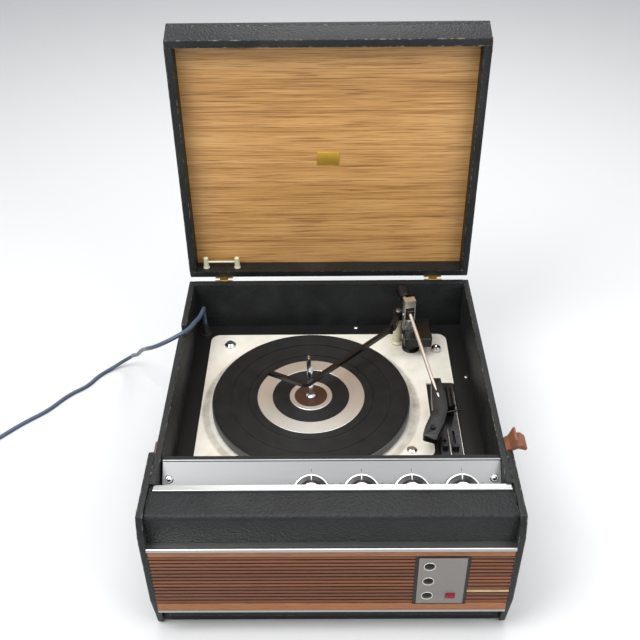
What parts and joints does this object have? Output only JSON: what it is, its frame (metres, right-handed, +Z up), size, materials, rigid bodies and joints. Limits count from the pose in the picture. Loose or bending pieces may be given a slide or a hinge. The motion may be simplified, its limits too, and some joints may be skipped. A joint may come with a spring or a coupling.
{
  "type": "record player",
  "caption": "Portable record player with its lid open: leathercloth case, wooden grille, sloping control trough, record changer deck and mains lead.",
  "frame": {"origin": "at floor level, below the middle of the box round the whole player with its lid open, without the mains lead", "axes": "+Z up, +X to the player's right as seen from the front, -Y towards the front with the controls"},
  "size_m": [0.9172, 0.5131, 0.5818],
  "materials": {
    "black_leathercloth": "satin",
    "teak": "satin",
    "oak_lining": "satin",
    "plywood": "matte",
    "hardboard": "matte",
    "cloth": "matte",
    "bright_trim": "polished",
    "anodised": "satin",
    "cream_paint": "gloss",
    "grey_paint": "satin",
    "steel": "satin",
    "chrome": "polished",
    "brass": "polished",
    "rubber_black": "matte",
    "mat_rubber": "matte",
    "black_plastic": "gloss",
    "matt_black_plastic": "matte",
    "cream_plastic": "gloss",
    "red_jewel": "gloss",
    "brown_print": "satin",
    "tan_leather": "worn",
    "cord_pvc": "satin",
    "paper": "matte"
  },
  "bodies": {
    "cabinet": {"base_board": "hardboard", "left_side": "black_leathercloth", "right_side": "black_leathercloth", "rear_panel": "black_leathercloth", "side_cheeks": "black_leathercloth", "front_fascia": "black_leathercloth", "inner_framing": "plywood", "motor_board": "plywood", "baffle_board": "plywood", "plinth": "black_leathercloth", "feet": "rubber_black", "trim_strips": "bright_trim", "grille": "teak", "speaker_cloth": "cloth", "speaker_frame": "grey_paint", "speaker_cone": "paper", "socket_plate": "anodised", "socket_moulding": "black_plastic", "pilot_jewel": "red_jewel", "control_panel": "anodised", "panel_screws": "chrome", "amplifier": "grey_paint", "unit_plate": "cream_paint", "escutcheon": "black_plastic", "deck_mountings": "chrome", "motor": "steel", "spindle": "chrome", "arm_pillar": "black_plastic", "overarm_sleeve": "cream_plastic", "cord_grommet": "rubber_black", "mains_lead": "cord_pvc", "mains_plug": "matt_black_plastic", "cabinet_hinges": "brass", "side_fittings": "tan_leather"},
    "turntable": {"platter": "grey_paint", "platter_mat": "mat_rubber", "mat_rings": "anodised", "centre_disc": "brown_print"},
    "pulley": {"motor_pulley": "brass"},
    "idler": {"idler_wheel": "rubber_black"},
    "speed_lever": {"speed_lever": "matt_black_plastic"},
    "start_lever": {"start_lever": "matt_black_plastic"},
    "saddle": {"arm_saddle": "chrome"},
    "arm": {"arm_tube": "chrome", "headshell": "black_plastic", "cartridge": "cream_plastic", "counterweight": "black_plastic"},
    "overarm_stem": {"overarm_stem": "steel"},
    "overarm": {"overarm": "black_plastic"},
    "selector": {"knob_selector": "black_plastic"},
    "volume": {"knob_volume": "black_plastic"},
    "treble": {"knob_treble": "black_plastic"},
    "bass": {"knob_bass": "black_plastic"},
    "lid": {"lid_frame": "black_leathercloth", "lid_panel": "black_leathercloth", "lid_lining": "oak_lining", "spindle_clip": "cream_plastic", "lid_hinges": "brass", "lid_fittings": "tan_leather"}
  },
  "joints": [
    {"name": "lid_hinge", "type": "hinge", "parent": "cabinet", "child": "lid", "pos_m": [-0.0075, 0.211, 0.204], "axis": [-1, 0, 0], "range_deg": [-90, 0]},
    {"name": "selector_turn", "type": "hinge", "parent": "cabinet", "child": "selector", "pos_m": [-0.03, -0.18588, 0.18193], "axis": [0, -0.6428, 0.766], "range_deg": [-60, 60]},
    {"name": "volume_turn", "type": "hinge", "parent": "cabinet", "child": "volume", "pos_m": [0.0285, -0.18588, 0.18193], "axis": [0, -0.6428, 0.766], "range_deg": [-150, 150]},
    {"name": "treble_turn", "type": "hinge", "parent": "cabinet", "child": "treble", "pos_m": [0.087, -0.18588, 0.18193], "axis": [0, -0.6428, 0.766], "range_deg": [-150, 150]},
    {"name": "bass_turn", "type": "hinge", "parent": "cabinet", "child": "bass", "pos_m": [0.1455, -0.18588, 0.18193], "axis": [0, -0.6428, 0.766], "range_deg": [-150, 150]},
    {"name": "platter_spin", "type": "hinge", "parent": "cabinet", "child": "turntable", "pos_m": [-0.033, 0.015, 0.148], "axis": [0, 0, 1], "continuous": true},
    {"name": "idler_spin", "type": "hinge", "parent": "cabinet", "child": "idler", "pos_m": [-0.08557, 0.11386, 0.143], "axis": [0, 0, 1], "continuous": true},
    {"name": "pulley_spin", "type": "hinge", "parent": "cabinet", "child": "pulley", "pos_m": [-0.07541, 0.09209, 0.143], "axis": [0, 0, 1], "continuous": true},
    {"name": "speed_slide", "type": "slide", "parent": "cabinet", "child": "speed_lever", "axis": [0, 1, 0], "range_m": [0, 0.028]},
    {"name": "start_slide", "type": "slide", "parent": "cabinet", "child": "start_lever", "axis": [0, 1, 0], "range_m": [0, 0.012]},
    {"name": "arm_swing", "type": "hinge", "parent": "cabinet", "child": "saddle", "pos_m": [0.107, 0.138, 0.198], "axis": [0, 0, -1], "range_deg": [0, 36]},
    {"name": "arm_lift", "type": "hinge", "parent": "saddle", "child": "arm", "pos_m": [0.107, 0.138, 0.198], "axis": [-0.982, -0.1887, 0], "range_deg": [0, 12]},
    {"name": "overarm_lift", "type": "slide", "parent": "cabinet", "child": "overarm_stem", "axis": [0, 0, 1], "range_m": [0, 0.045]},
    {"name": "overarm_swing", "type": "hinge", "parent": "overarm_stem", "child": "overarm", "pos_m": [0.0935, 0.1505, 0.185], "axis": [0, 0, 1], "range_deg": [0, 18]}
  ],
  "couplings": [
    {"joint": "idler_spin", "follows": "platter_spin", "ratio": 6.6},
    {"joint": "pulley_spin", "follows": "platter_spin", "ratio": -33}
  ]
}
